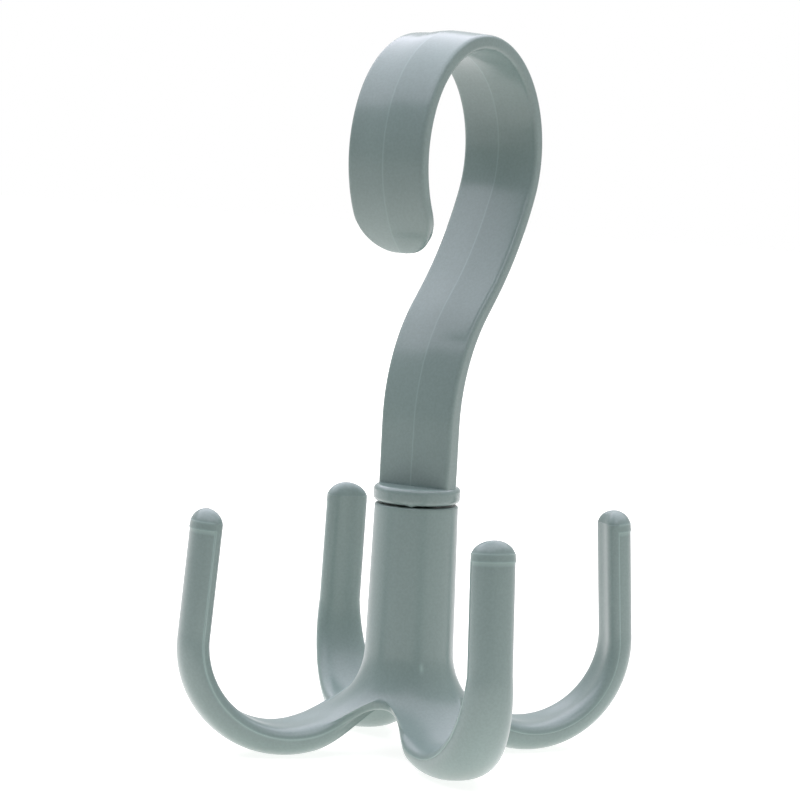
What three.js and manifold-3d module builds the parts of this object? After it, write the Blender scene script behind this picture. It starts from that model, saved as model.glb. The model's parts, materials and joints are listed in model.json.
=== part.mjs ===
// Rotating wardrobe hook, in millimetres, +Z up.
//
// A flat strip, curled into a question mark, hangs on a clothes rail. Its round collar carries a split snap
// post, and a carousel of four claws hangs and spins on that post. Each of the two is one plastic moulding.
//
// The origin is the rail seat, the crown of the loop's inner face. The hook lies in the XZ plane, the rail
// runs along Y, and the swivel axis is parallel to Z.

import * as THREE from 'three';
import { mergeVertices } from 'three/addons/utils/BufferGeometryUtils.js';
import Module from 'manifold-3d';

// Hook strip: its section on the loop and at the collar, then its path upwards from the collar
const STRIP_WIDTH = 18.3;
const STRIP_EDGE = 3.75; // thickness along the long edges
const STRIP_ROUND = 0.9; // rounding of the long edges
const FACE_DRAFT = 4.1; // the broad faces rise at this slope to a ridge on the parting plane
const RIDGE_SHARE = 0.15; // part of a face's half width over which the ridge is softened
const STEM_WIDTH = 17.5;
const STEM_EDGE = 4.6;
const STEM_BLEND = 50; // length over which the stem's section becomes the loop's
const STEM_LENGTH = 13.1; // straight stretch above the collar
const BEND_RADIUS = 36.8;
const BEND_ANGLE = 42.2;
const LEAN_LENGTH = 4.8; // straight stretch between the bend and the shoulder
const SHOULDER_RADIUS = 81; // slow start of the loop
const SHOULDER_ANGLE = 18.3;
const LOOP_RADIUS = 23.1;
const LOOP_ANGLE = 177.2;
const TONGUE_RADIUS = 26.9; // the loop opens a little towards its free end
const TONGUE_ANGLE = 73.2;
const TONGUE_TAPER = 10.1; // length over which the free end rounds off
const TONGUE_END_WIDTH = 2.4;
const TONGUE_SQUARENESS = 2.2; // superellipse power of the free end's outline

// Collar under the strip
const COLLAR_RADIUS = 9.4;
const COLLAR_HEIGHT = 3.6;
const COLLAR_ROUND = 0.9;

// Snap pivot: a post split by a slot, with a barb that holds the hub's web
const POST_RADIUS = 3.9;
const POST_CLEARANCE = 0.35; // radial, between the post and the hole in the web
const BARB_CATCH = 0.6; // how far the barb reaches past the hole's edge
const BARB_LIP = 0.8;
const BARB_LENGTH = 3.4;
const BARB_LEAD = 1.6; // how far the barb narrows towards its end
const SLOT_WIDTH = 1.8;
const SLOT_ROOT = 1.2; // solid length of the post above the slot
const SWIVEL_GAP = 0.45; // collar to hub
const HANG_CLEARANCE = 0.3; // web to barb

// Carousel hub
const HUB_RADIUS = 9.05;
const HUB_ROUND = 0.5;
const WEB_THICKNESS = 3.0;
const BORE_TOP_RADIUS = 5.9;
const BORE_RADIUS = 6.4; // at the hub's open lower end
const BORE_LAND = 0.6; // flat rim round the bore's mouth
const HUB_DEPTH = 42.1; // from the hub's top face to that rim
const FLARE_DEPTH = 31.5; // from the top face to where the wall starts to spread
const FLARE_RADIUS = 9.6;
const FLARE_BEND = 16; // it spreads on this radius, alike all round
const FLARE_TURN = 30; // and leans out this far where the claws part

// Arch between neighbouring claws, on the plane midway between them
const ARCH_RADIUS = 13.2;
const ARCH_DEPTH = 41.9;
const ARCH_ROUND = 1.5; // rounding of the arch's edge
const ARCH_OVER = 50; // the rounding starts this far above the level
const ARCH_UNDER = 105; // and ends this far below it
const RIM_FALL = 27; // the claws' undersides leave the bore's rim at this slope
const CORNER_FAN = 45; // how far the skin's flow turns aside at the corners of a claw's root

// Claws: a round bend, then a leaning upright with a domed end
const CLAW_COUNT = 4;
const CLAW_TURN = 52.1; // from the hook's plane to the first claw
const CLAW_REACH = 28.2; // swivel axis to the bend's centre
const CLAW_DROP = 30.1; // hub's top face to the bend's centre
const CLAW_BEND = 20.6; // radius of the bend's middle line
const CLAW_LEAN = 4.1; // the upright leans in towards the hub
const CLAW_UPRIGHT = 27.3; // from the end of the bend to the top of the dome
const CLAW_DOME = 3.2;
const ROOT_ANGLE = 14; // the free claw starts this far before the bend's lowest point
const ROOT_WIDTH = 16.5;
const ROOT_THICKNESS = 7.1;
const FOOT_WIDTH = 9.4; // at the foot of the upright
const FOOT_THICKNESS = 6.5;
const TIP_WIDTH = 8.75; // under the dome
const TIP_THICKNESS = 6.4;
const RIM_SHARE = 0.36; // part of the thickness that lies inside the widest line
const TROUGH_DEPTH = 0.5; // hollow along the claw's inner face
const INNER_SQUARENESS = 2.5; // superellipse powers of the inner and outer faces
const OUTER_SQUARENESS = 2.2;

// Fineness of the curved faces
const ARC_STEP = 9; // degrees
const FLARE_STEPS = 3;
const ROUND_STEPS = 3;
const LATHE_SIDES = 40;
const WALL_STEPS = 6; // across each claw's share of the hub wall
const ARCH_STEPS = 6;
const SPREAD_STEPS = 6; // from the hub to the free claw
const UPRIGHT_STEPS = 3;
const DOME_STEPS = 4;
const TAPER_STEPS = 6;
const MERGE = 1e-4;

const RIGHT_ANGLE = Math.PI / 2;
const radians = THREE.MathUtils.degToRad;
const lerp = THREE.MathUtils.lerp;

// Heights measured from the collar's underside
const hubTop = -SWIVEL_GAP;
const webUnderside = hubTop - WEB_THICKNESS;
const barbShoulder = webUnderside - HANG_CLEARANCE;
const hubFloor = hubTop - HUB_DEPTH;

// Radii at the pivot
const holeRadius = POST_RADIUS + POST_CLEARANCE;
const barbRadius = holeRadius + BARB_CATCH;

const wasm = await Module();
wasm.setup();

// Turns a closed geometry into a solid for cutting and joining
function solid(geometry) {
  geometry.deleteAttribute('normal');
  geometry.deleteAttribute('uv');
  const merged = mergeVertices(geometry, MERGE);
  const corners = merged.index.array;
  const faces = [];
  for (let i = 0; i < corners.length; i += 3) {
    const [a, b, c] = corners.slice(i, i + 3);
    if (a !== b && b !== c && c !== a) faces.push(a, b, c);
  }
  const vertProperties = new Float32Array(merged.attributes.position.array);
  const triVerts = new Uint32Array(faces);
  return new wasm.Manifold(new wasm.Mesh({ numProp: 3, vertProperties, triVerts }));
}

function toMesh(body, name, material) {
  const { vertProperties, triVerts } = body.getMesh();
  const geometry = new THREE.BufferGeometry();
  geometry.setAttribute('position', new THREE.Float32BufferAttribute(vertProperties, 3));
  geometry.setIndex(Array.from(triVerts));
  geometry.computeVertexNormals();
  const mesh = new THREE.Mesh(geometry, material);
  mesh.name = name;
  return mesh;
}

// Geometry from a list of triangles, each three points
function skinGeometry(triangles) {
  const geometry = new THREE.BufferGeometry();
  geometry.setFromPoints(triangles.flat());
  return geometry;
}

// Triangles between neighbouring rows of points, which are closed rings of equal length
function stitch(rows) {
  const triangles = [];
  for (let i = 0; i + 1 < rows.length; i += 1) {
    const [near, far] = [rows[i], rows[i + 1]];
    near.forEach((point, j) => {
      const k = (j + 1) % near.length;
      triangles.push([point, far[j], far[k]], [point, far[k], near[k]]);
    });
  }
  return triangles;
}

// A fan that closes a ring at one point, on the ring's far side or its near side
function closeFar(ring, tip) {
  return ring.map((point, j) => [point, tip, ring[(j + 1) % ring.length]]);
}

function closeNear(ring, tip) {
  return ring.map((point, j) => [tip, point, ring[(j + 1) % ring.length]]);
}

// A revolved solid about Z, from a path of (radius, height) drawn upwards from axis to axis
function revolve(path) {
  return solid(new THREE.LatheGeometry(path.getPoints(ROUND_STEPS), LATHE_SIDES).rotateX(RIGHT_ANGLE));
}

// Places along the strip's middle line, a walk over stretches that each have a length and a turn, positive
// to the left. One place is right on the loop's crown. The places close up towards the end of the tongue,
// where its outline turns fastest.
function stripPlaces() {
  const evenly = (share) => share;
  const closing = (share) => Math.sin(share * RIGHT_ANGLE);
  const round = (radius, angle) => {
    const steps = Math.ceil(Math.abs(angle) / ARC_STEP);
    return { length: Math.abs(radius * radians(angle)), turn: angle, steps };
  };
  const climb = 90 + BEND_ANGLE - SHOULDER_ANGLE; // turn of the loop before its crown
  const taper = THREE.MathUtils.radToDeg(TONGUE_TAPER / TONGUE_RADIUS);
  const stretches = [
    { length: COLLAR_HEIGHT / 2 + STEM_LENGTH, turn: 0, steps: 1 },
    round(BEND_RADIUS, -BEND_ANGLE),
    { length: LEAN_LENGTH, turn: 0, steps: 1 },
    round(SHOULDER_RADIUS, SHOULDER_ANGLE),
    round(LOOP_RADIUS, climb),
    round(LOOP_RADIUS, LOOP_ANGLE - climb),
    round(TONGUE_RADIUS, TONGUE_ANGLE - taper),
    { length: TONGUE_TAPER, turn: taper, steps: TAPER_STEPS, spacing: closing },
  ];
  const places = [{ x: 0, z: COLLAR_HEIGHT / 2, heading: RIGHT_ANGLE, travelled: 0 }];
  for (const { length, turn, steps, spacing = evenly } of stretches) {
    const start = places[places.length - 1];
    for (let i = 1; i <= steps; i += 1) {
      const share = spacing(i / steps);
      const half = (radians(turn) * share) / 2;
      const chord = length * share * (half ? Math.sin(half) / half : 1);
      places.push({
        x: start.x + chord * Math.cos(start.heading + half),
        z: start.z + chord * Math.sin(start.heading + half),
        heading: start.heading + 2 * half,
        travelled: start.travelled + length * share,
      });
    }
  }
  return places;
}

// Half of the strip's thickness at a distance from its middle, before edges and ridge are softened
function halfThickness(width, edge, across) {
  return edge / 2 + (width / 2 - across) * Math.tan(radians(FACE_DRAFT));
}

// The strip's section: flat edges, rounded corners and two broad faces that rise to a softened ridge
function stripSection(width, edge) {
  const w = width / 2;
  const r = STRIP_ROUND;
  const b = (w - r) * RIDGE_SHARE;
  const [e, corner, shoulder, ridge] = [w, w - r, b, 0].map((across) => halfThickness(width, edge, across));
  const shape = new THREE.Shape();
  shape.moveTo(r - w, -corner);
  shape.lineTo(-b, -shoulder);
  shape.quadraticCurveTo(0, -ridge, b, -shoulder);
  shape.lineTo(w - r, -corner);
  shape.quadraticCurveTo(w, -e, w, r - e);
  shape.lineTo(w, e - r);
  shape.quadraticCurveTo(w, e, w - r, corner);
  shape.lineTo(b, shoulder);
  shape.quadraticCurveTo(0, ridge, -b, shoulder);
  shape.lineTo(r - w, corner);
  shape.quadraticCurveTo(-w, e, -w, e - r);
  shape.lineTo(-w, r - e);
  shape.quadraticCurveTo(-w, -e, r - w, -corner);
  return shape.getPoints(ROUND_STEPS).slice(1).reverse();
}

// The strip: its section carried along the middle line, rounding off over the tongue
function hookStrip() {
  const places = stripPlaces();
  const total = places[places.length - 1].travelled;
  const rings = places.map(({ x, z, heading, travelled }) => {
    const risen = Math.min(1, travelled / STEM_BLEND);
    const into = Math.max(0, 1 - (total - travelled) / TONGUE_TAPER);
    const fullness = (1 - into ** TONGUE_SQUARENESS) ** (1 / TONGUE_SQUARENESS);
    const width = lerp(TONGUE_END_WIDTH, lerp(STEM_WIDTH, STRIP_WIDTH, risen), fullness);
    return stripSection(width, lerp(STEM_EDGE, STRIP_EDGE, risen)).map(
      ({ x: across, y: inward }) =>
        new THREE.Vector3(x - inward * Math.sin(heading), across, z + inward * Math.cos(heading)),
    );
  });
  const ends = [places[0], places[places.length - 1]].map(({ x, z }) => new THREE.Vector3(x, 0, z));
  const last = rings[rings.length - 1];
  return solid(skinGeometry([...closeNear(rings[0], ends[0]), ...stitch(rings), ...closeFar(last, ends[1])]));
}

// Collar and snap post in one revolve, before the slot is cut
function collarAndPost() {
  const path = new THREE.Path();
  path.moveTo(0, barbShoulder - BARB_LENGTH);
  path.lineTo(barbRadius - BARB_LEAD, barbShoulder - BARB_LENGTH);
  path.lineTo(barbRadius, barbShoulder - BARB_LIP);
  path.lineTo(barbRadius, barbShoulder);
  path.lineTo(POST_RADIUS, barbShoulder);
  path.lineTo(POST_RADIUS, 0);
  path.lineTo(COLLAR_RADIUS - COLLAR_ROUND, 0);
  path.absarc(COLLAR_RADIUS - COLLAR_ROUND, COLLAR_ROUND, COLLAR_ROUND, -RIGHT_ANGLE, 0);
  path.absarc(COLLAR_RADIUS - COLLAR_ROUND, COLLAR_HEIGHT - COLLAR_ROUND, COLLAR_ROUND, 0, RIGHT_ANGLE);
  path.lineTo(0, COLLAR_HEIGHT);
  return revolve(path);
}

// The slot lets the two halves of the post spring together; it runs the way the mould opens, along Y
function postSlot() {
  const slotTop = -SLOT_ROOT;
  const slotEnd = barbShoulder - 2 * BARB_LENGTH;
  const box = new THREE.BoxGeometry(SLOT_WIDTH, 4 * barbRadius, slotTop - slotEnd);
  return solid(box.translate(0, 0, (slotTop + slotEnd) / 2));
}

// Radius and height to a point at an angle round the swivel axis
function polar(radius, angle, height) {
  return new THREE.Vector3(radius * Math.cos(angle), radius * Math.sin(angle), height);
}

const SECTOR = Math.PI / CLAW_COUNT; // half of one claw's share of the circle

// Radius and height on the spreading wall, where it has turned out by this share of its whole turn
function flarePlace(share) {
  const turn = radians(FLARE_TURN) * share;
  const spread = FLARE_BEND * (1 - Math.cos(turn));
  const fall = FLARE_BEND * Math.sin(turn);
  return new THREE.Vector2(FLARE_RADIUS + spread, hubTop - FLARE_DEPTH - fall);
}

const flareEnd = flarePlace(1);
const flareWay = new THREE.Vector2(Math.sin(radians(FLARE_TURN)), -Math.cos(radians(FLARE_TURN)));

// Profile of the arch between two claws: on down the spread wall, round the edge and in to the bore's rim
function archProfile() {
  const edge = new THREE.Vector2(ARCH_RADIUS - ARCH_ROUND, hubTop - ARCH_DEPTH);
  const over = radians(ARCH_OVER);
  const under = -radians(ARCH_UNDER);
  const path = new THREE.Path();
  path.moveTo(flareEnd.x, flareEnd.y);
  const lip = new THREE.Vector2(Math.cos(over), Math.sin(over)).multiplyScalar(ARCH_ROUND).add(edge);
  const pull = lip.distanceTo(flareEnd) / 3;
  const leaving = flareWay.clone().multiplyScalar(pull).add(flareEnd);
  const arriving = new THREE.Vector2(-Math.sin(over), Math.cos(over)).multiplyScalar(pull).add(lip);
  path.bezierCurveTo(leaving.x, leaving.y, arriving.x, arriving.y, lip.x, lip.y);
  path.absarc(edge.x, edge.y, ARCH_ROUND, over, under, true);
  path.lineTo(BORE_RADIUS + BORE_LAND, hubFloor);
  return path;
}

// The ring where one claw leaves the hub, clockwise seen from the claw's end: across the wall, down one
// arch, back along the bore's rim and up the other arch. Each place has the direction the skin sets off in,
// which turns aside towards the corners, over the first and the last third of each arch.
function rootRing() {
  const arch = archProfile();
  const ring = [];
  const add = (point, heading) => ring.push({ point, heading: heading.normalize() });
  const around = (angle) => new THREE.Vector3(-Math.sin(angle), Math.cos(angle), 0);
  const fan = (angle) => -Math.sign(angle) * Math.tan(radians(CORNER_FAN) * (angle / SECTOR) ** 2);
  const onArch = (share, side) => {
    const place = arch.getPointAt(share);
    const along = arch.getTangentAt(share);
    const angle = side * SECTOR;
    const bend = Math.tan(radians(CORNER_FAN)) * (Math.max(0, 1 - 3 * share) - Math.max(0, 3 * share - 2));
    const heading = polar(along.x, angle, along.y).multiplyScalar(bend).addScaledVector(around(angle), -side);
    add(polar(place.x, angle, place.y), heading);
  };
  for (let j = 0; j <= WALL_STEPS; j += 1) {
    const angle = lerp(-SECTOR, SECTOR, j / WALL_STEPS);
    const wall = polar(flareEnd.x, angle, flareEnd.y);
    add(wall, polar(flareWay.x, angle, flareWay.y).addScaledVector(around(angle), fan(angle)));
  }
  for (let j = 1; j <= ARCH_STEPS; j += 1) onArch(j / ARCH_STEPS, 1);
  for (let j = 1; j < WALL_STEPS; j += 1) {
    const angle = lerp(SECTOR, -SECTOR, j / WALL_STEPS);
    const rim = polar(BORE_RADIUS + BORE_LAND, angle, hubFloor);
    add(rim, polar(1, angle, -Math.tan(radians(RIM_FALL))).addScaledVector(around(angle), fan(angle)));
  }
  for (let j = ARCH_STEPS; j > 0; j -= 1) onArch(j / ARCH_STEPS, -1);
  return ring;
}

// Angles round a claw's section that match the places of the root ring
function sectionAngles() {
  const quarter = (from, steps) => Array.from({ length: steps }, (_, j) => radians(from - (90 * j) / steps));
  return [
    ...quarter(135, WALL_STEPS),
    ...quarter(45, ARCH_STEPS),
    ...quarter(-45, WALL_STEPS),
    ...quarter(-135, ARCH_STEPS),
  ];
}

// A claw's section: a superellipse with a flatter inner half, hollowed along its middle. The first value
// runs across the claw, the second towards its inner face.
function clawSection(width, thickness) {
  return sectionAngles().map((angle) => {
    const [c, s] = [Math.cos(angle), Math.sin(angle)];
    const power = 2 / (s > 0 ? INNER_SQUARENESS : OUTER_SQUARENESS);
    const across = Math.sign(c) * Math.abs(c) ** power;
    const share = s > 0 ? RIM_SHARE : 1 - RIM_SHARE;
    const level = Math.sign(s) * Math.abs(s) ** power * share + 0.5 - RIM_SHARE;
    const hollow = s > 0 ? TROUGH_DEPTH * s ** 2 * (1 - across ** 2) ** 2 : 0;
    return [(across * width) / 2, level * thickness - hollow];
  });
}

// One ring of a claw that points along +X: the middle line's place, its slope, and the section there
function clawRing(radius, height, slope, width, thickness) {
  return clawSection(width, thickness).map(
    ([across, inward]) =>
      new THREE.Vector3(radius - inward * Math.sin(slope), across, height + inward * Math.cos(slope)),
  );
}

// Rings of the free claw from its root to its dome, and the dome's top
function freeClaw() {
  const rings = [];
  const first = -radians(ROOT_ANGLE);
  const last = RIGHT_ANGLE + radians(CLAW_LEAN);
  const bendHeight = hubTop - CLAW_DROP;
  const onBend = (slope) => {
    return [CLAW_REACH + CLAW_BEND * Math.sin(slope), bendHeight - CLAW_BEND * Math.cos(slope)];
  };
  const bendSteps = Math.ceil((last - first) / radians(ARC_STEP));
  for (let i = 0; i <= bendSteps; i += 1) {
    const share = i / bendSteps;
    const slope = lerp(first, last, share);
    const width = lerp(ROOT_WIDTH, FOOT_WIDTH, share);
    const thickness = lerp(ROOT_THICKNESS, FOOT_THICKNESS, share);
    rings.push(clawRing(...onBend(slope), slope, width, thickness));
  }
  const foot = new THREE.Vector2(...onBend(last));
  const along = new THREE.Vector2(Math.cos(last), Math.sin(last));
  const straight = CLAW_UPRIGHT - CLAW_DOME;
  for (let i = 1; i <= UPRIGHT_STEPS; i += 1) {
    const share = i / UPRIGHT_STEPS;
    const { x, y } = foot.clone().addScaledVector(along, straight * share);
    const thickness = lerp(FOOT_THICKNESS, TIP_THICKNESS, share);
    rings.push(clawRing(x, y, last, lerp(FOOT_WIDTH, TIP_WIDTH, share), thickness));
  }
  for (let i = 1; i < DOME_STEPS; i += 1) {
    const rise = (RIGHT_ANGLE * i) / DOME_STEPS;
    const { x, y } = foot.clone().addScaledVector(along, straight + CLAW_DOME * Math.sin(rise));
    rings.push(clawRing(x, y, last, TIP_WIDTH * Math.cos(rise), TIP_THICKNESS * Math.cos(rise)));
  }
  const top = foot.clone().addScaledVector(along, CLAW_UPRIGHT);
  return { rings, tip: new THREE.Vector3(top.x, 0, top.y) };
}

// Rings that spread the hub's wall, arches and rim into the free claw: every place follows a cubic that
// sets off along the hub's own surface and arrives along the claw
function rootRings(root, firstRing) {
  const slope = -radians(ROOT_ANGLE);
  const arrival = new THREE.Vector3(Math.cos(slope), 0, Math.sin(slope));
  return Array.from({ length: SPREAD_STEPS }, (_, i) => {
    const t = i / SPREAD_STEPS;
    return root.map(({ point, heading }, j) => {
      const reach = point.distanceTo(firstRing[j]);
      return new THREE.Vector3()
        .addScaledVector(point, (1 + 2 * t) * (1 - t) ** 2)
        .addScaledVector(heading, reach * t * (1 - t) ** 2)
        .addScaledVector(firstRing[j], t * t * (3 - 2 * t))
        .addScaledVector(arrival, reach * t * t * (t - 1));
    });
  });
}

// Rings of the hub's wall, from its rounded top edge down to where the claws part
function wallRings() {
  const sides = CLAW_COUNT * WALL_STEPS;
  const ring = (radius, height) =>
    Array.from({ length: sides }, (_, j) => polar(radius, (2 * SECTOR * j) / WALL_STEPS - SECTOR, height));
  const rings = [];
  for (let i = 0; i <= ROUND_STEPS; i += 1) {
    const over = RIGHT_ANGLE * (1 - i / ROUND_STEPS);
    const [inset, drop] = [HUB_ROUND * (1 - Math.cos(over)), HUB_ROUND * (1 - Math.sin(over))];
    rings.push(ring(HUB_RADIUS - inset, hubTop - drop));
  }
  for (let i = 0; i <= FLARE_STEPS; i += 1) {
    const { x, y } = flarePlace(i / FLARE_STEPS);
    rings.push(ring(x, y));
  }
  return rings;
}

// The carousel's outer skin: hub wall, four claws and the hub's underside in one closed surface
function carouselSkin() {
  const wall = wallRings();
  const triangles = [...closeNear(wall[0], new THREE.Vector3(0, 0, hubTop)), ...stitch(wall)];
  const root = rootRing();
  const { rings, tip } = freeClaw();
  const rows = [...rootRings(root, rings[0]), ...rings];
  const rimStart = WALL_STEPS + ARCH_STEPS;
  const rim = root.slice(rimStart, rimStart + WALL_STEPS + 1).map(({ point }) => point);
  const floorCentre = new THREE.Vector3(0, 0, hubFloor);
  const floor = rim.slice(1).map((point, j) => [floorCentre, rim[j], point]);
  const claw = [...stitch(rows), ...closeFar(rows[rows.length - 1], tip), ...floor];
  const up = new THREE.Vector3(0, 0, 1);
  for (let k = 0; k < CLAW_COUNT; k += 1) {
    const turn = (point) => point.clone().applyAxisAngle(up, 2 * SECTOR * k);
    triangles.push(...claw.map((corners) => corners.map(turn)));
  }
  return solid(skinGeometry(triangles));
}

// What is cut out of the hub: the bore from below and the post's hole through the web
function hubBore() {
  const path = new THREE.Path();
  path.moveTo(0, hubFloor - WEB_THICKNESS);
  path.lineTo(BORE_RADIUS, hubFloor - WEB_THICKNESS);
  path.lineTo(BORE_RADIUS, hubFloor);
  path.lineTo(BORE_TOP_RADIUS, webUnderside);
  path.lineTo(holeRadius, webUnderside);
  path.lineTo(holeRadius, SWIVEL_GAP);
  path.lineTo(0, SWIVEL_GAP);
  return revolve(path);
}

const moulded = { roughness: 0.45, metalness: 0 };
const hook = toMesh(
  hookStrip().add(collarAndPost()).subtract(postSlot()),
  'swivel_hook',
  new THREE.MeshStandardMaterial({ color: 0x97a5a2, ...moulded }),
);
const claws = toMesh(
  carouselSkin().subtract(hubBore()),
  'claw_carousel',
  new THREE.MeshStandardMaterial({ color: 0x94a39f, ...moulded }),
);

const carousel = new THREE.Group();
carousel.rotation.z = radians(CLAW_TURN);
carousel.add(claws);

// The rail seat, on the inner face's ridge under the crown of the loop
const crown = stripPlaces().reduce((highest, place) => (place.z > highest.z ? place : highest));
const innerFace = Math.max(...stripSection(STRIP_WIDTH, STRIP_EDGE).map(({ y }) => y));
const wardrobeHook = new THREE.Group();
wardrobeHook.position.set(-crown.x, 0, innerFace - crown.z);
wardrobeHook.add(hook, carousel);

export default wardrobeHook;
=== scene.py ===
import json

import bmesh
import bpy
import numpy as np
from mathutils import Matrix, Vector


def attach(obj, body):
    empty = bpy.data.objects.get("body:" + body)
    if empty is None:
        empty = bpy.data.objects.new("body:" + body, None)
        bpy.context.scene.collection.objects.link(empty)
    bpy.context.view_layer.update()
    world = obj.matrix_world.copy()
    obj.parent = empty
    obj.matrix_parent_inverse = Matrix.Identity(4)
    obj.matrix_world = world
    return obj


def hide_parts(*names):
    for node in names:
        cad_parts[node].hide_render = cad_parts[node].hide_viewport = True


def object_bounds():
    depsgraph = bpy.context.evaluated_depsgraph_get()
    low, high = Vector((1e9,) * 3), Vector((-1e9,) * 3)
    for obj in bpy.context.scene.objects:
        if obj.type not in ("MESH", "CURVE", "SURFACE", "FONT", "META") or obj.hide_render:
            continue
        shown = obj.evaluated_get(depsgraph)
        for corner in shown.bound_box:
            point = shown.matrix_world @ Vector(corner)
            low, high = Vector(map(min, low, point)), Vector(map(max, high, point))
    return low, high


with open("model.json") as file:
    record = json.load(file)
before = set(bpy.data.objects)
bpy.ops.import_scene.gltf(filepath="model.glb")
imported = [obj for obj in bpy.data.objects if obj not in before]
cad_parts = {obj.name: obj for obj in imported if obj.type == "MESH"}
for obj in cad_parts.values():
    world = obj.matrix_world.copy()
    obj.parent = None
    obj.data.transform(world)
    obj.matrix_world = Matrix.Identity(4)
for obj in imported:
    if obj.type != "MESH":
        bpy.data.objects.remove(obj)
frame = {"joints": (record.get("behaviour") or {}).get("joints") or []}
cad_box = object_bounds()

# Hook strip: the flat curl that hangs on the clothes rail, injection moulded in sage polypropylene.
# Its mould parts on the plane of the curl, so both broad faces rise to a faint ridge with a thread of
# flash along it, and that thread is painted paler as a highlight. Its foot runs into the collar without a
# joint.
MM = 0.001
axis_x, _, hub_top = frame["joints"][0]["pos_m"]
swivel_gap = 0.45 * MM
collar_floor = hub_top + swivel_gap
collar_height = 3.6 * MM

strip_width = 18.7 * MM
strip_edge = 3.05 * MM
strip_shift = 0.21 * MM
stem_width = 17.5 * MM
stem_edge = 4.6 * MM
stem_blend = 50 * MM
edge_round = 0.95 * MM
corner_limit = 0.85
face_slope = np.tan(np.radians(4.9))
ridge_softness = 1.2 * MM
tongue_taper = 10.1 * MM
tongue_end_width = 1.8 * MM
tongue_squareness = 2.05
flash_height, flash_width = 0.02 * MM, 0.16 * MM
sink_depth, sink_place = 0.19 * MM, 4.6 * MM
sink_width, sink_length = 2.0 * MM, 9.0 * MM
strip_rows, tongue_rows = 360, 60
edge_points, corner_points, face_points = 4, 9, 24
face_crowding = 1.7
weld_distance = 1e-3 * MM
sharp_angle = np.radians(38)

stem_length = 13.1 * MM
bend_radius, bend_turn = 36.8 * MM, np.radians(42.2)
lean_length = 4.8 * MM
shoulder_radius, shoulder_turn = 81.0 * MM, np.radians(18.3)
loop_radius, loop_turn = 23.1 * MM, np.radians(177.2)
tongue_radius, tongue_turn = 26.9 * MM, np.radians(73.2)
join_softness = 1.5 * MM
stretches = np.array(
    [
        (collar_height / 2 + stem_length, 0),
        (bend_radius * bend_turn, -bend_turn),
        (lean_length, 0),
        (shoulder_radius * shoulder_turn, shoulder_turn),
        (loop_radius * loop_turn, loop_turn),
        (tongue_radius * tongue_turn, tongue_turn),
    ]
)
strip_ends = np.concatenate([[0], np.cumsum(stretches[:, 0])])
strip_headings = np.pi / 2 + np.concatenate([[0], np.cumsum(stretches[:, 1])])
strip_length = strip_ends[-1]
# The crown is where the strip, past its lean, heads straight back.
crown_at = np.interp(np.pi, strip_headings[3:], strip_ends[3:])


def strip_line(travelled):
    """Middle line of the strip, from inside the collar up: x, z and heading at each distance travelled.

    The heading changes evenly over each stretch, and its mean over a short window softens the joins. The
    place is the running sum of the heading's cosine and sine.
    """
    fine = np.linspace(0, strip_length, 8001)
    window = np.linspace(-join_softness, join_softness, 31)[:, None]
    heading = np.interp(fine + window, strip_ends, strip_headings).mean(0)
    middle = (heading[1:] + heading[:-1]) / 2
    x = axis_x + np.concatenate([[0], np.cumsum(np.cos(middle))]) * fine[1]
    climb = np.concatenate([[0], np.cumsum(np.sin(middle))]) * fine[1]
    z = collar_floor + collar_height / 2 + climb
    return [np.interp(travelled, fine, values) for values in (x, z, heading)]


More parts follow.
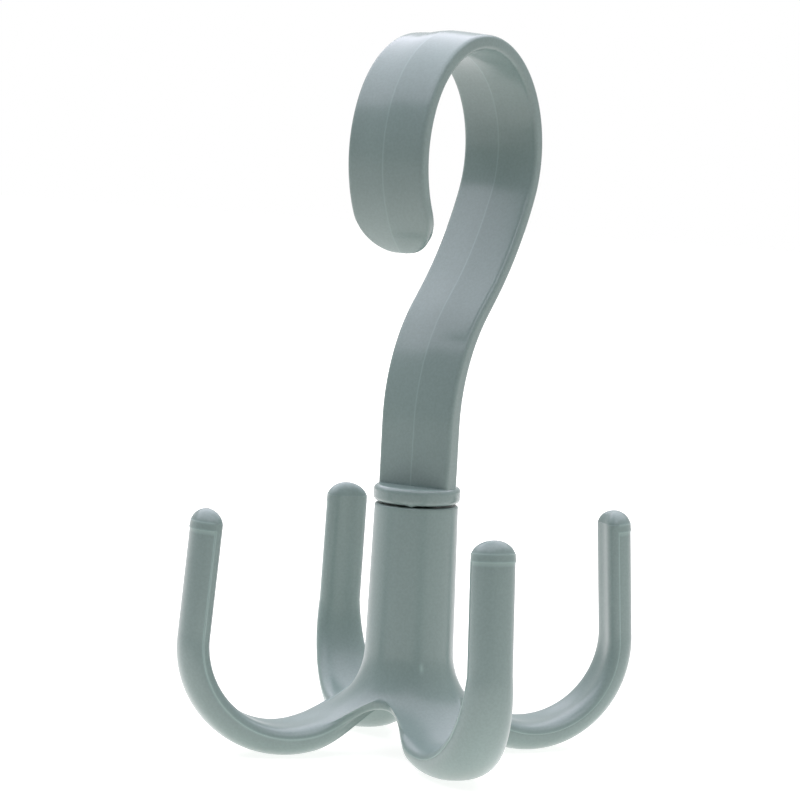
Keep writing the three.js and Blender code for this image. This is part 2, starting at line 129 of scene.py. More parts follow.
def strip_surface():
    """Places of the strip, one row for each distance travelled and one column for each point of the section.

    A point of the section lies y across the strip and n through it, towards the inside of the curl. A quarter
    of the section runs up the flat edge, round the corner on a parabola and in along the sloping face to the
    ridge. Mirrored, it makes the whole section, which the middle line carries along, a little to its outside.
    The outer face sinks in one place on the crown, where the moulding is thickest.
    """
    taper_from = strip_length - tongue_taper
    run = np.linspace(0, taper_from, strip_rows)[:-1]
    close = taper_from + tongue_taper * np.sin(np.linspace(0, np.pi / 2, tongue_rows))
    travelled = np.concatenate([run, close])
    into = np.clip(1 - (strip_length - travelled) / tongue_taper, 0, 1)
    risen = np.minimum(1, travelled / stem_blend)[:, None]
    full_width = stem_width + (strip_width - stem_width) * risen
    fullness = (1 - into**tongue_squareness) ** (1 / tongue_squareness)
    half_width = (tongue_end_width + (full_width - tongue_end_width) * fullness[:, None]) / 2
    half_edge = (stem_edge + (strip_edge - stem_edge) * risen) / 2
    flank = np.sqrt(1 + np.gradient(half_width[:, 0], travelled) ** 2)[:, None]
    corner = np.minimum(corner_limit * half_width, edge_round * flank)

    up = np.linspace(0, 1, edge_points)[:-1]
    turn = np.linspace(0, 1, corner_points)[:-1]
    inward = np.linspace(1, 0, face_points) ** face_crowding
    edge_y, edge_n = half_width + 0 * up, (half_edge - edge_round) * up
    corner_y = half_width - corner * turn**2
    corner_n = half_edge - edge_round * (1 - turn) ** 2 + corner * face_slope * turn**2
    face_y = (half_width - corner) * inward
    face_n = half_edge + face_slope * (half_width - np.hypot(face_y, ridge_softness))
    y = np.concatenate([edge_y, corner_y, face_y], 1)
    n = np.concatenate([edge_n, corner_n, face_n], 1)

    end = np.clip((travelled - strip_length + edge_round) / edge_round, 0, 1)[:, None]
    n = n * (1 - edge_round / n.max(1, keepdims=True) * (1 - np.sqrt(1 - end**2)))
    y = np.concatenate([y, -y[:, -2::-1], -y[:, 1:], y[:, -2:0:-1]], 1)
    n = np.concatenate([n, n[:, -2::-1], -n[:, 1:], -n[:, -2:0:-1]], 1)

    on_face = np.abs(n) > edge_round
    # The mask raises a real fine ridge of flash along the parting line, and also marks it to be painted
    # paler, as a painted highlight.
    flash = np.exp(-((y / flash_width) ** 2)) * on_face
    n = n + np.sign(n) * flash_height * flash
    near_crown = np.exp(-(((travelled - crown_at) / sink_length) ** 2))[:, None]
    sink = np.exp(-(((y - sink_place) / sink_width) ** 2)) * near_crown * (n < 0)
    n = n + sink_depth * sink - strip_shift * risen

    x, z, heading = (values[:, None] for values in strip_line(travelled))
    places = np.stack([x - n * np.sin(heading), y, z + n * np.cos(heading)], -1)
    return places, flash


def closed_on_line(places):
    """Rows of a ring surface with one more row at each end, where the ring's two faces meet in a line."""
    ends = []
    for ring in (places[0], places[-1]):
        half = len(ring) // 2
        mirrored = np.concatenate([ring[half::-1], ring[:half:-1]])
        ends.append((ring + mirrored) / 2)
    return np.concatenate([ends[0][None], places, ends[1][None]])


def skin_mesh(name, patches):
    """One welded mesh from patches of places and of how much each place is painted paler as a highlight,
    grids whose columns close into a ring.
    """
    places, flash, faces, first = [], [], [], 0
    for grid, mark in patches:
        rows, columns = grid.shape[:2]
        index = first + np.arange(rows * columns).reshape(rows, columns)
        after = np.roll(index, -1, axis=1)
        quads = np.stack([index[:-1], after[:-1], after[1:], index[1:]], -1)
        faces.append(quads.reshape(-1, 4))
        places.append(grid.reshape(-1, 3))
        flash.append(np.broadcast_to(mark, grid.shape[:2]).ravel())
        first += rows * columns
    mesh = bpy.data.meshes.new(name)
    mesh.from_pydata(np.concatenate(places).tolist(), [], np.concatenate(faces).tolist())
    # The mark is kept as a point attribute, which the material paints paler as a painted highlight.
    marks = mesh.attributes.new("flash", "FLOAT", "POINT")
    marks.data.foreach_set("value", np.concatenate(flash).astype(np.float32))
    welded = bmesh.new()
    welded.from_mesh(mesh)
    bmesh.ops.remove_doubles(welded, verts=welded.verts, dist=weld_distance)
    bmesh.ops.recalc_face_normals(welded, faces=welded.faces)
    welded.to_mesh(mesh)
    welded.free()
    mesh.shade_smooth()
    mesh.set_sharp_from_angle(angle=sharp_angle)
    piece = bpy.data.objects.new(name, mesh)
    bpy.context.scene.collection.objects.link(piece)
    return piece


def sage_polypropylene(name, tone, flow, gloss, highlight_paleness):
    """Satin moulded polypropylene: pigment clouds drawn out along the flow, fine specks, a spark-eroded grain
    in the surface, and a painted highlight, where the thread of flash at the mould halves is painted paler.
    Gloss is the least roughness, and the last argument says how much paler the painted highlight is."""
    cloud_contrast, speck_contrast, gloss_range = 0.045, 0.06, 0.06
    material = bpy.data.materials.new(name)
    material.use_nodes = True
    nodes, links = material.node_tree.nodes, material.node_tree.links
    shader = nodes["Principled BSDF"]
    shader.inputs["IOR"].default_value = 1.49
    shader.inputs["Subsurface Weight"].default_value = 0.08
    shader.inputs["Subsurface Radius"].default_value = (1.0, 1.2, 1.1)
    shader.inputs["Subsurface Scale"].default_value = 1.2 * MM
    place = nodes.new("ShaderNodeTexCoord").outputs["Object"]

    def noise(where, scale, detail):
        """Amount of a noise texture at each place."""
        texture = nodes.new("ShaderNodeTexNoise")
        texture.inputs["Scale"].default_value = scale
        texture.inputs["Detail"].default_value = detail
        links.new(where, texture.inputs["Vector"])
        return texture.outputs["Fac"]

    def shades(amount, middle, contrast, reach):
        """Colours either side of the middle one, as the amount goes the reach below and above a half."""
        ramp = nodes.new("ShaderNodeValToRGB")
        for element, side in zip(ramp.color_ramp.elements, (-1, 1)):
            element.position = 0.5 + side * reach
            element.color = [c * (1 + side * contrast) for c in middle] + [1]
        links.new(amount, ramp.inputs["Fac"])
        return ramp.outputs["Color"]

    drawn = nodes.new("ShaderNodeMapping")
    drawn.inputs["Scale"].default_value = flow
    links.new(place, drawn.inputs["Vector"])
    clouds = noise(drawn.outputs["Vector"], scale=60, detail=4)
    specks = noise(place, scale=1800, detail=2)
    speckled = nodes.new("ShaderNodeMix")
    speckled.data_type = "RGBA"
    speckled.blend_type = "OVERLAY"
    speckled.inputs["Factor"].default_value = 0.6
    links.new(shades(clouds, tone, cloud_contrast, reach=0.2), speckled.inputs["A"])
    links.new(shades(specks, (0.5, 0.5, 0.5), speck_contrast, reach=0.15), speckled.inputs["B"])

    # Painted highlight: where the mark is high, the colour is painted paler, standing in for light catching
    # the parting line.
    flash = nodes.new("ShaderNodeAttribute")
    flash.attribute_name = "flash"
    pale_highlight = nodes.new("ShaderNodeMix")
    pale_highlight.data_type = "RGBA"
    pale_highlight.inputs["B"].default_value = [c * highlight_paleness for c in tone] + [1]
    links.new(flash.outputs["Fac"], pale_highlight.inputs["Factor"])
    links.new(speckled.outputs["Result"], pale_highlight.inputs["A"])
    links.new(pale_highlight.outputs["Result"], shader.inputs["Base Color"])

    sheen = nodes.new("ShaderNodeMapRange")
    sheen.inputs["From Min"].default_value = 0.3
    sheen.inputs["From Max"].default_value = 0.7
    sheen.inputs["To Min"].default_value = gloss
    sheen.inputs["To Max"].default_value = gloss + gloss_range
    links.new(clouds, sheen.inputs["Value"])
    links.new(sheen.outputs["Result"], shader.inputs["Roughness"])

    eroded = nodes.new("ShaderNodeBump")
    eroded.inputs["Strength"].default_value = 0.25
    eroded.inputs["Distance"].default_value = 0.02 * MM
    links.new(noise(place, scale=2600, detail=3), eroded.inputs["Height"])
    links.new(eroded.outputs["Normal"], shader.inputs["Normal"])
    return material


sage = (0.203, 0.275, 0.256)
strip_places, strip_flash_and_highlight = strip_surface()
strip_patch = closed_on_line(strip_places), np.pad(strip_flash_and_highlight, ((1, 1), (0, 0)), mode="edge")
hook_strip = skin_mesh("hook_strip", [strip_patch])
# The hook's flash thread is painted 1.2 times paler than the tone, as a painted highlight.
hook_finish = sage_polypropylene(
    "sage_polypropylene_hook", sage, flow=(0.35, 1, 0.35), gloss=0.18, highlight_paleness=1.2
)
hook_strip.data.materials.append(hook_finish)
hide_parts("swivel_hook")
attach(hook_strip, "hook")

# Collar and snap post: the round foot of the same moulding. The collar covers the swivel, and the split
# post below it is pushed through the hub's web until its barb springs out and carries the hub.
collar_radius = 9.4 * MM
collar_round = 1.1 * MM
post_radius = 3.9 * MM
post_clearance = 0.35 * MM
web_thickness = 3.0 * MM
hang_clearance = 0.3 * MM
barb_catch = 0.6 * MM
barb_lip = 0.8 * MM
barb_length = 3.4 * MM
barb_lead = 1.6 * MM
slot_width = 1.8 * MM
slot_root = 1.2 * MM
post_overlap = 0.2 * MM
edge_break = 0.1 * MM
nub_angle = np.radians(-155.7)
nub_height, nub_width, nub_spread = 0.36 * MM, 0.75 * MM, 0.7 * MM
collar_columns = 192
swing_points, chord_points = 33, 10
hole_radius = post_radius + post_clearance
barb_radius = hole_radius + barb_catch
barb_shoulder = -swivel_gap - web_thickness - hang_clearance


def arc(centre, radius, start, stop, count):
    """Points on a circle in a radius and height plane, between two angles in degrees."""
    angle = np.radians(np.linspace(start, stop, count))
    return np.stack([centre[0] + radius * np.cos(angle), centre[1] + radius * np.sin(angle)], -1)


def between(start, stop, count):
    """Evenly spaced points on a straight line, both ends left out."""
    share = np.linspace(0, 1, count + 2)[1:-1, None]
    return np.array(start) * (1 - share) + np.array(stop) * share


def turned(profile, angles):
    """A profile of radii and heights turned about the swivel axis: one row for each of its points."""
    radius, height = profile[:, :1], profile[:, 1:]
    return np.stack(
        [axis_x + radius * np.cos(angles), radius * np.sin(angles), height + 0 * angles], -1
    )


def collar_surface():
    """Collar and root of the post as one turned profile, with a nub of flash under the collar's rim.

    The nub is a bell curve of the distance along the rim, which fades inwards and upwards from the edge.
    """
    inner = collar_radius - collar_round
    profile = np.concatenate(
        [
            [(0, -slot_root), (post_radius, -slot_root), (post_radius, 0)],
            between((post_radius, 0), (inner, 0), 8),
            arc((inner, collar_round), collar_round, -90, 0, 9),
            arc((inner, collar_height - collar_round), collar_round, 0, 90, 9),
            between((inner, collar_height), (0, collar_height), 8),
            [(0, collar_height)],
        ]
    )
    angles = np.linspace(-np.pi, np.pi, collar_columns, endpoint=False)[None]
    grid = turned(profile + (0, collar_floor), angles)
    along_rim = (angles - nub_angle) * collar_radius
    from_edge = np.hypot(profile[:, 0] - inner, profile[:, 1])[:, None]
    nub = np.exp(-((along_rim / nub_width) ** 2) - (from_edge / nub_spread) ** 2)
    grid[..., 2] -= nub_height * nub
    return grid


def post_half(side):
    """One half of the split post: at each height of its outline, an arc of the circle closed by a chord."""
    outline = np.array(
        [
            (post_radius, -slot_root + post_overlap),
            (post_radius, -slot_root),
            (post_radius, barb_shoulder + edge_break),
            (post_radius, barb_shoulder),
            (barb_radius - edge_break, barb_shoulder),
            (barb_radius, barb_shoulder - edge_break),
            (barb_radius, barb_shoulder - barb_lip),
            (barb_radius - barb_lead + 2 * edge_break, barb_shoulder - barb_length + edge_break),
            (barb_radius - barb_lead, barb_shoulder - barb_length),
        ]
    )
    radius, height = outline[:, :1], outline[:, 1:]
    reach = np.arccos(slot_width / 2 / radius)
    swing = np.linspace(-1, 1, swing_points)[None] * reach
    chord = np.linspace(1, -1, chord_points)[None, 1:-1] * radius * np.sin(reach)
    x = np.concatenate([radius * np.cos(swing), slot_width / 2 + 0 * chord], 1)
    y = np.concatenate([radius * np.sin(swing), chord], 1)
    rings = np.stack([axis_x + side * x, side * y, collar_floor + height + 0 * x], -1)
    caps = rings[[0, -1]].mean(1, keepdims=True) + 0 * rings[[0, -1]]
    return np.concatenate([caps[:1], rings, caps[1:]])


collar = skin_mesh("swivel_collar", [(collar_surface(), 0), (post_half(1), 0), (post_half(-1), 0)])
collar.data.materials.append(hook_finish)
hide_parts("swivel_hook")
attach(collar, "hook")

# Claw carousel: hub and four claws in one moulding of the same sage polypropylene, hollow from below. One
# half of its mould forms the claws' inner faces and domed ends, the other their backs, and the halves meet
# in a fine ledge. It hangs on the barb of the post and spins freely.
claw_count = 4
claw_turn = np.radians(52.1)
hub_radius = 9.05 * MM
hub_round = 0.5 * MM
bore_top_radius = 5.9 * MM
bore_radius = 6.4 * MM
bore_land = 0.6 * MM
bore_edge = 0.3 * MM
hub_depth = 42.1 * MM
flare_depth = 31.5 * MM
flare_radius = 9.6 * MM
flare_bend = 16.0 * MM
flare_turn = np.radians(30)
arch_radius = 13.2 * MM
arch_depth = 41.9 * MM
arch_round = 1.5 * MM
arch_over, arch_under = np.radians(50), np.radians(-105)
rim_fall = np.radians(27)
corner_fan = np.radians(45)
claw_reach = 28.18 * MM
claw_drop = 30.06 * MM
claw_bend = 20.6 * MM
claw_lean = np.radians(4.1)
claw_upright = 27.42 * MM
claw_dome = 2.7 * MM
dome_turn = np.radians(76)
root_angle = np.radians(14)
root_width, foot_width, tip_width = 16.5 * MM, 9.4 * MM, 9.25 * MM
root_thickness, foot_thickness, tip_thickness = 7.1 * MM, 6.5 * MM, 6.55 * MM
rim_share = 0.36
trough_depth = 0.5 * MM
inner_squareness, outer_squareness = 2.5, 2.2
ledge_height, ledge_fade = 0.15 * MM, 1.1 * MM
witness_drop, witness_riser = 4.4 * MM, 0.05 * MM
dome_inset, dome_riser = 0.975, 0.03 * MM
# Widths and strength of the painted highlights along the claws' parting line and round the dome's base.
thread_highlight_width = 0.22 * MM
dome_highlight_strength, dome_highlight_width = 0.6, 0.2 * MM
gate_angle, gate_depth = np.radians(228.5), 34.3 * MM
gate_width, gate_height, gate_stub = 0.3 * MM, 0.85 * MM, 0.1 * MM
sector = np.pi / claw_count
spread_rows, bend_rows, upright_rows, tip_rows, dome_rows = 38, 66, 26, 8, 14
no_area = 1e-15

# Shares of the way round a claw: the columns crowd towards the parting lines, with one close beside each.
face_columns, side_columns = 26, 14
side_crowding = 1.6
ledge_riser = 0.003
face_share = np.linspace(0, 1, face_columns, endpoint=False)
upper_side = 0.5 - 0.5 * (1 - np.linspace(0, 1, side_columns)) ** side_crowding
upper_side[-1] = 0.5 - ledge_riser
lower_side = 0.5 + 0.5 * np.linspace(0, 1, side_columns, endpoint=False) ** side_crowding
side_share = np.concatenate([upper_side, lower_side])
ledge_right = face_columns + len(upper_side)
ledge_left = 2 * face_columns + len(side_share) + len(lower_side)


def flare_place(share):
    """Radius and height on the spreading wall: an arc that starts upright and leans out with each share."""
    lean = flare_turn * np.asarray(share)
    radius = flare_radius + flare_bend * (1 - np.cos(lean))
    height = -flare_depth - flare_bend * np.sin(lean)
    return np.stack([radius, height], -1)


def arch_profile(share):
    """Arch between two claws as radius, height and slope at shares of its length: on down the spread wall on
    a cubic curve, round the edge on an arc and straight in to the rim of the bore."""
    edge = np.array([arch_radius - arch_round, -arch_depth])
    lip = edge + arch_round * np.array([np.cos(arch_over), np.sin(arch_over)])
    flare_end = flare_place(1)
    pull = np.linalg.norm(lip - flare_end) / 3
    corners = np.array(
        [
            flare_end,
            flare_end + pull * np.array([np.sin(flare_turn), -np.cos(flare_turn)]),
            lip + pull * np.array([-np.sin(arch_over), np.cos(arch_over)]),
            lip,
        ]
    )
    t = np.linspace(0, 1, 400)[:, None]
    weights = np.concatenate([(1 - t) ** 3, 3 * t * (1 - t) ** 2, 3 * t**2 * (1 - t), t**3], 1)
    bow = arc(edge, arch_round, np.degrees(arch_over), np.degrees(arch_under), 200)[1:]
    rim = np.array([bore_radius + bore_land, -hub_depth])
    path = np.concatenate([weights @ corners, bow, between(bow[-1], rim, 100), rim[None]])
    length = np.concatenate([[0], np.cumsum(np.linalg.norm(np.diff(path, axis=0), axis=1))])
    slope = np.gradient(path, length, axis=0)
    at = share * length[-1]
    return [np.interp(at, length, values) for values in (*path.T, *slope.T)]


def claw_root():
    """Ring where one claw leaves the hub, and the direction in which the skin sets off at each place.

    The ring runs across the wall, down one arch, back along the rim of the bore and up the other arch. The
    directions fan out towards the corners, so that wall and arch flow into one another.
    """
    across = sector * (2 * face_share - 1)
    c, s, level = np.cos(across), np.sin(across), 0 * across
    fan = -np.sign(across) * np.tan(corner_fan * (across / sector) ** 2)
    wall_radius, wall_height = flare_place(1)
    wall = np.stack([wall_radius * c, wall_radius * s, level + wall_height], -1)
    out, down = np.sin(flare_turn), -np.cos(flare_turn)
    wall_way = np.stack([out * c - fan * s, out * s + fan * c, level + down], -1)
    rim_radius = bore_radius + bore_land
    rim = np.stack([rim_radius * c, -rim_radius * s, level - hub_depth], -1)
    rim_way = np.stack([c - fan * s, -s - fan * c, level - np.tan(rim_fall)], -1)
    sides = []
    for side, share in ((1, side_share), (-1, 1 - side_share)):
        radius, height, out, down = arch_profile(share)
        bend = np.tan(corner_fan) * (np.maximum(0, 1 - 3 * share) - np.maximum(0, 3 * share - 2))
        c, s = np.cos(sector), side * np.sin(sector)
        place = np.stack([radius * c, radius * s, height], -1)
        way = np.stack([bend * out * c + side * s, bend * out * s - side * c, bend * down], -1)
        sides.append((place, way))
    ring = np.concatenate([wall, sides[0][0], rim, sides[1][0]])
    way = np.concatenate([wall_way, sides[0][1], rim_way, sides[1][1]])
    return ring, way / np.linalg.norm(way, axis=1, keepdims=True)


def claw_section():
    """Section of a claw as shares of its width and thickness: a superellipse with a shallower inner half, and
    how strongly each place sinks into the hollow along the inner face."""
    degrees = np.concatenate(
        [135 - 90 * face_share, 45 - 90 * side_share, -45 - 90 * face_share, -135 - 90 * side_share]
    )
    c, s = np.cos(np.radians(degrees)), np.sin(np.radians(degrees))
    power = 2 / np.where(s > 0, inner_squareness, outer_squareness)
    across = np.sign(c) * np.abs(c) ** power
    share = np.where(s > 0, rim_share, 1 - rim_share)
    level = np.sign(s) * np.abs(s) ** power * share + 0.5 - rim_share
    hollow = np.where(s > 0, s**2 * (1 - across**2) ** 2, 0)
    return across / 2, level, hollow


def free_claw(slope, radius, height, width, thickness):
    """Rows of the free claw: at each place of the middle line, the section set square to it."""
    across, level, hollow = claw_section()
    slope, radius, height = slope[:, None], radius[:, None], height[:, None]
    inward = level * thickness[:, None] - trough_depth * hollow * (thickness / foot_thickness)[:, None]
    return np.stack(
        [radius - inward * np.sin(slope), across * width[:, None], height + inward * np.cos(slope)], -1
    )


def claw_surface():
    """Places of one claw that points along X, from the hub to the top of its dome, and how much each place is
    painted paler, as a painted highlight along the parting line and round the dome's base on the back.

    From the root each place follows a cubic curve that sets off along the hub and arrives along the claw.
    The bend is an arc, the upright is straight, and the dome is a cap of a flattened ball. Inside the parting
    line, and above the witness line across the back, the skin steps in by a ledge that fades out with the
    distance. The ledge grows from nothing at the hub.
    """
    last = np.pi / 2 + claw_lean
    share = np.linspace(0, 1, bend_rows)
    slope = -root_angle + (last + root_angle) * share
    bend = free_claw(
        slope,
        claw_reach + claw_bend * np.sin(slope),
        -claw_drop - claw_bend * np.cos(slope),
        root_width + (foot_width - root_width) * share,
        root_thickness + (foot_thickness - root_thickness) * share,
    )
    straight = claw_upright - claw_dome
    witness = claw_upright - witness_drop
    cap = np.linspace(dome_turn, 0, dome_rows)
    rise = (np.cos(cap) - np.cos(dome_turn)) / (1 - np.cos(dome_turn))
    along = np.concatenate(
        [
            np.linspace(0, witness, upright_rows)[1:],
            np.linspace(witness + witness_riser, straight, tip_rows),
            straight + dome_riser + (claw_dome - dome_riser) * rise,
        ]
    )
    shrink = np.ones(len(along))
    shrink[-dome_rows:] = dome_inset * np.sin(cap) / np.sin(dome_turn)
    climbed = np.minimum(1, along / straight)
    upright = free_claw(
        np.full_like(along, last),
        claw_reach + claw_bend * np.sin(last) + along * np.cos(last),
        -claw_drop - claw_bend * np.cos(last) + along * np.sin(last),
        (foot_width + (tip_width - foot_width) * climbed) * shrink,
        (foot_thickness + (tip_thickness - foot_thickness) * climbed) * shrink,
    )
    root, way = claw_root()
    arrival = bend[1] - bend[0]
    arrival /= np.linalg.norm(arrival, axis=1, keepdims=True)
    chord = np.linalg.norm(bend[0] - root, axis=1, keepdims=True)
    t = np.linspace(0, 1, spread_rows, endpoint=False)[:, None, None]
    spread = (
        root * (1 + 2 * t) * (1 - t) ** 2
        + way * chord * t * (1 - t) ** 2
        + bend[0] * t**2 * (3 - 2 * t)
        + arrival * chord * t**2 * (t - 1)
    )
    places = np.concatenate([spread, bend, upright])

    rows_on = np.gradient(places, axis=0)
    columns_on = np.roll(places, -1, axis=1) - np.roll(places, 1, axis=1)
    normal = np.cross(columns_on, rows_on)
    normal /= np.maximum(np.linalg.norm(normal, axis=-1, keepdims=True), no_area)

    gaps = np.linalg.norm(np.roll(places, -1, axis=1) - places, axis=-1)
    run = np.cumsum(gaps, axis=1) - gaps
    girth = gaps.sum(1, keepdims=True)
    run = np.where(np.arange(run.shape[1]) < ledge_left, run, run - girth)
    inside = np.minimum(run[:, [ledge_right]] - run, run - run[:, [ledge_left]])
    # The rows below the upright count as a metre off the witness line and off the dome's base.
    away = np.ones(len(spread) + len(bend))
    above = np.concatenate([-away, along - witness])[:, None]
    both = (inside > 0) & (above > 0)
    depth = np.where(both, np.hypot(inside, above), np.maximum(inside, above))
    parted = np.concatenate([t[:, 0], np.ones((len(bend) + len(upright), 1))])
    step = np.where(depth > weld_distance, np.exp(-depth / ledge_fade), 0) * parted
    places = places - normal * (ledge_height * step)[..., None]
    # Painted highlight: the thread at the parting line and a line round the dome's base on the back are
    # painted paler, standing in for light catching the ledge and the crease.
    flash = np.exp(-((depth / thread_highlight_width) ** 2)) * parted
    flash[-dome_rows:] = 0
    back = np.clip(-inside / MM, 0, 1)
    base = np.concatenate([away, along - straight])[:, None]
    dome_highlight = dome_highlight_strength * back * np.exp(-((base / dome_highlight_width) ** 2))
    flash = np.maximum(flash, dome_highlight)
    return places, flash


def hub_surface():
    """Hub as one turned profile: from the rim of the bore up inside it, under and through the web, over the
    top face and its rounded edge, down the tapering wall and out on its spread to where the claws part. The
    stub of the gate stands out of the wall as a small hump, and is painted paler like the flash, as a painted
    highlight."""
    inner = hub_radius - hub_round
    profile = np.concatenate(
        [
            [(bore_radius + bore_land, -hub_depth)],
            arc((bore_radius + bore_edge, -hub_depth + bore_edge), bore_edge, -90, -180, 5),
            between((bore_radius, -hub_depth + bore_edge), (bore_top_radius, -web_thickness), 24),
            [(bore_top_radius, -web_thickness), (hole_radius, -web_thickness), (hole_radius, 0)],
            between((hole_radius, 0), (inner, 0), 6),
            arc((inner, -hub_round), hub_round, 90, 0, 9),
            between((hub_radius, -hub_round), (flare_radius, -flare_depth), 24),
            flare_place(np.linspace(0, 1, 26)),
        ]
    )
    columns = claw_count * face_columns
    angles = claw_turn - sector + np.linspace(0, 2 * np.pi, columns, endpoint=False)[None]
    radius, depth = profile[:, :1], -profile[:, 1:]
    outside = np.arange(len(profile))[:, None] > profile[:, 1].argmax()
    beside = (angles - gate_angle) * radius / gate_width
    below = (depth - gate_depth) / gate_height
    # The gate's hump is real geometry, and its mark also paints it paler, as a painted highlight.
    gate = np.exp(-(beside**2) - below**2) * outside
    x, y, z = np.moveaxis(turned(profile + (0, hub_top), angles), -1, 0)
    x = x + gate_stub * gate * np.cos(angles)
    y = y + gate_stub * gate * np.sin(angles)
    return np.stack([x, y, z], -1), gate


def placed(places, angle):
    """Places about the origin, turned round the swivel axis and set at the height of the hub's top."""
    c, s = np.cos(angle), np.sin(angle)
    x, y, z = np.moveaxis(places, -1, 0)
    return np.stack([axis_x + x * c - y * s, x * s + y * c, hub_top + z], -1)


claw_places, claw_flash_and_highlight = claw_surface()
claws = [(placed(claw_places, claw_turn + 2 * sector * k), claw_flash_and_highlight) for k in range(claw_count)]
carousel = skin_mesh("claw_carousel_moulding", [hub_surface(), *claws])
# The carousel's flash thread, dome-base line and gate stub are painted 1.48 times paler than the tone, as a
# painted highlight.
carousel_finish = sage_polypropylene(
    "sage_polypropylene_carousel", sage, flow=(1, 1, 0.3), gloss=0.28, highlight_paleness=1.48
)
carousel.data.materials.append(carousel_finish)
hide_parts("claw_carousel")
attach(carousel, "carousel")

# Studio: a lit white table top under the hook, which stands on its four claws, a wide soft box overhead and
# to the back left of the picture, a white backdrop behind and a dimmer room on the side of the camera.
room_fill = 0.76
floor_half = 3.0
floor_level = cad_box[0].z
floor_mesh = bpy.data.meshes.new("floor")
corners = np.array([(-1, -1, 0), (1, -1, 0), (1, 1, 0), (-1, 1, 0)]) * floor_half
floor_mesh.from_pydata((corners + (0, 0, floor_level)).tolist(), [], [(0, 1, 2, 3)])
floor = bpy.data.objects.new("floor", floor_mesh)
bpy.context.scene.collection.objects.link(floor)


def surroundings(nodes, links, direction, fill):
    """Brightness of the surroundings in a direction: white to the camera. In gloss, and through clear pieces,
    they are white towards the backdrop and fall off to the dim room on the camera's side. As soft light
    they count the same, times the fill."""
    toward = nodes.new("ShaderNodeVectorMath")
    toward.operation = "DOT_PRODUCT"
    toward.inputs[1].default_value = (1, 0, 0)
    links.new(direction, toward.inputs[0])
    backdrop = nodes.new("ShaderNodeMapRange")
    backdrop.interpolation_type = "SMOOTHSTEP"
    backdrop.inputs["From Min"].default_value = -0.8
    backdrop.inputs["From Max"].default_value = -0.2
    backdrop.inputs["To Min"].default_value = 0.15
    backdrop.inputs["To Max"].default_value = 0.75
    links.new(toward.outputs["Value"], backdrop.inputs["Value"])
    path = nodes.new("ShaderNodeLightPath")
    mirrored = nodes.new("ShaderNodeMath")
    mirrored.operation = "MAXIMUM"
    links.new(path.outputs["Is Glossy Ray"], mirrored.inputs[0])
    links.new(path.outputs["Is Transmission Ray"], mirrored.inputs[1])
    share = nodes.new("ShaderNodeMapRange")
    share.inputs["To Min"].default_value = fill
    share.inputs["To Max"].default_value = 1.0
    links.new(mirrored.outputs["Value"], share.inputs["Value"])
    lit = nodes.new("ShaderNodeMath")
    lit.operation = "MULTIPLY"
    links.new(backdrop.outputs["Result"], lit.inputs[0])
    links.new(share.outputs["Result"], lit.inputs[1])
    seen = nodes.new("ShaderNodeMath")
    seen.operation = "MAXIMUM"
    links.new(path.outputs["Is Camera Ray"], seen.inputs[0])
    links.new(lit.outputs["Value"], seen.inputs[1])
    return seen.outputs["Value"]


floor_finish = bpy.data.materials.new("table_white")
floor_finish.use_nodes = True
floor_nodes, floor_links = floor_finish.node_tree.nodes, floor_finish.node_tree.links
floor_shader = floor_nodes["Principled BSDF"]
floor_shader.inputs["Base Color"].default_value = (0.56, 0.545, 0.51, 1)
floor_shader.inputs["Roughness"].default_value = 0.9
floor_shader.inputs["Specular IOR Level"].default_value = 0
floor_shader.inputs["Emission Color"].default_value = (1, 1, 1, 1)
floor_place = floor_nodes.new("ShaderNodeTexCoord")
level_place = floor_nodes.new("ShaderNodeVectorMath")
level_place.operation = "MULTIPLY"
level_place.inputs[1].default_value = (1, 1, 0)
floor_links.new(floor_place.outputs["Object"], level_place.inputs[0])
from_hook = floor_nodes.new("ShaderNodeVectorMath")
from_hook.operation = "LENGTH"
floor_links.new(level_place.outputs["Vector"], from_hook.inputs[0])
heading = floor_nodes.new("ShaderNodeVectorMath")
heading.operation = "NORMALIZE"
floor_links.new(level_place.outputs["Vector"], heading.inputs[0])
far = floor_nodes.new("ShaderNodeMapRange")
far.interpolation_type = "SMOOTHSTEP"
far.inputs["From Min"].default_value = 0.05
far.inputs["From Max"].default_value = 0.36
floor_links.new(from_hook.outputs["Value"], far.inputs["Value"])
floor_path = floor_nodes.new("ShaderNodeLightPath")
near_glow = floor_nodes.new("ShaderNodeMapRange")
near_glow.inputs["To Min"].default_value = 0.8
near_glow.inputs["To Max"].default_value = 1.2
floor_links.new(floor_path.outputs["Is Glossy Ray"], near_glow.inputs["Value"])
glow = floor_nodes.new("ShaderNodeMix")
floor_links.new(near_glow.outputs["Result"], glow.inputs["A"])
floor_links.new(far.outputs["Result"], glow.inputs["Factor"])
horizon = surroundings(floor_nodes, floor_links, heading.outputs["Vector"], fill=0)
floor_links.new(horizon, glow.inputs["B"])
floor_links.new(glow.outputs["Result"], floor_shader.inputs["Emission Strength"])
floor_mesh.materials.append(floor_finish)

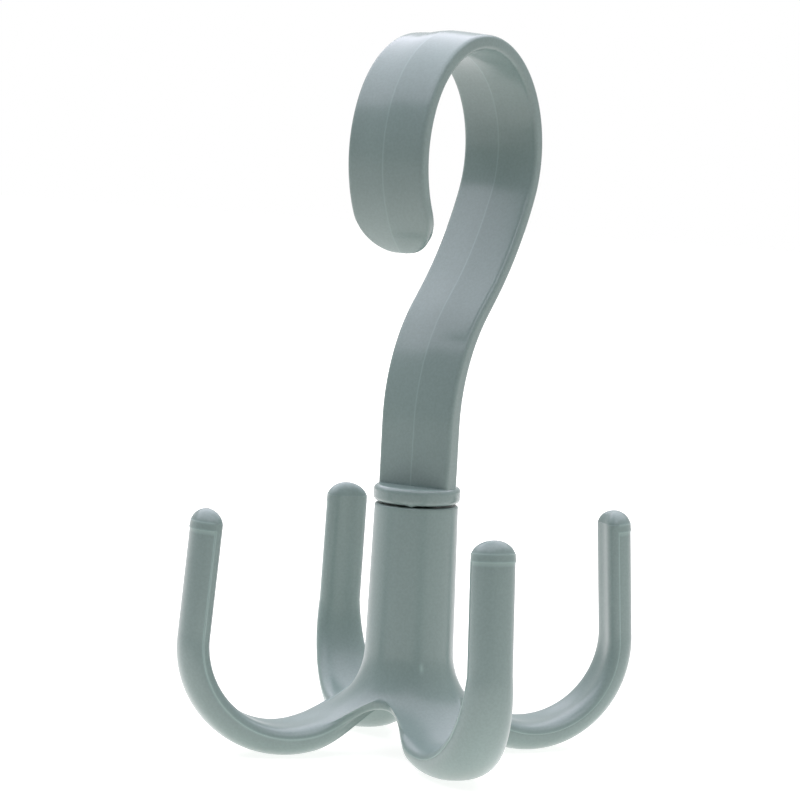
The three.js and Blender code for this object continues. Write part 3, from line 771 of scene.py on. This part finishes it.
world = bpy.data.worlds.new("studio")
bpy.context.scene.world = world
world.use_nodes = True
world_nodes, world_links = world.node_tree.nodes, world.node_tree.links
backdrop_white = world_nodes["Background"]
backdrop_white.inputs["Color"].default_value = (1, 1, 1, 1)
outward = world_nodes.new("ShaderNodeTexCoord")
brightness = surroundings(world_nodes, world_links, outward.outputs["Generated"], fill=room_fill)
world_links.new(brightness, backdrop_white.inputs["Strength"])

soft_box = bpy.data.lights.new("soft_box", "AREA")
soft_box.shape = "RECTANGLE"
soft_box.size, soft_box.size_y = 1.55, 1.6
soft_box.energy = 14.8
soft_box.color = (1.0, 0.95, 1.1)
lamp = bpy.data.objects.new("soft_box", soft_box)
lamp.location = (0.175, 0.35, 0.55)
bpy.context.scene.collection.objects.link(lamp)

# Camera: a long lens a little above the hub, looking across the curl from the side of its tongue. The
# picture leans slightly, as a camera held by hand does.
view_azimuth = np.radians(301.818)
view_elevation = np.radians(8.719)
view_distance = 668.6 * MM
aim_below_collar = 20.6 * MM
aim_right, aim_up = -4.72 * MM, 42.32 * MM
camera_roll = np.radians(-2.877)
right = Vector((np.cos(view_azimuth), np.sin(view_azimuth), 0))
back = Vector(
    (
        np.sin(view_azimuth) * np.cos(view_elevation),
        -np.cos(view_azimuth) * np.cos(view_elevation),
        np.sin(view_elevation),
    )
)
pivot = Vector((axis_x, 0, collar_floor - aim_below_collar))
stand = pivot + view_distance * back
forward = (pivot + aim_right * right + aim_up * back.cross(right) - stand).normalized()
level_right = forward.cross(Vector((0, 0, 1))).normalized()
level_up = level_right.cross(forward)
picture_right = np.cos(camera_roll) * level_right - np.sin(camera_roll) * level_up
picture_up = np.sin(camera_roll) * level_right + np.cos(camera_roll) * level_up
camera_data = bpy.data.cameras.new("camera")
camera_data.lens = 138.6
camera_data.sensor_width = 36
camera_data.clip_start, camera_data.clip_end = 0.05, 50
camera = bpy.data.objects.new("camera", camera_data)
turn = Matrix((picture_right, picture_up, -forward)).transposed().to_4x4()
camera.matrix_world = Matrix.Translation(stand) @ turn
bpy.context.scene.collection.objects.link(camera)
bpy.context.scene.camera = camera
bpy.context.scene.view_settings.view_transform = "Standard"
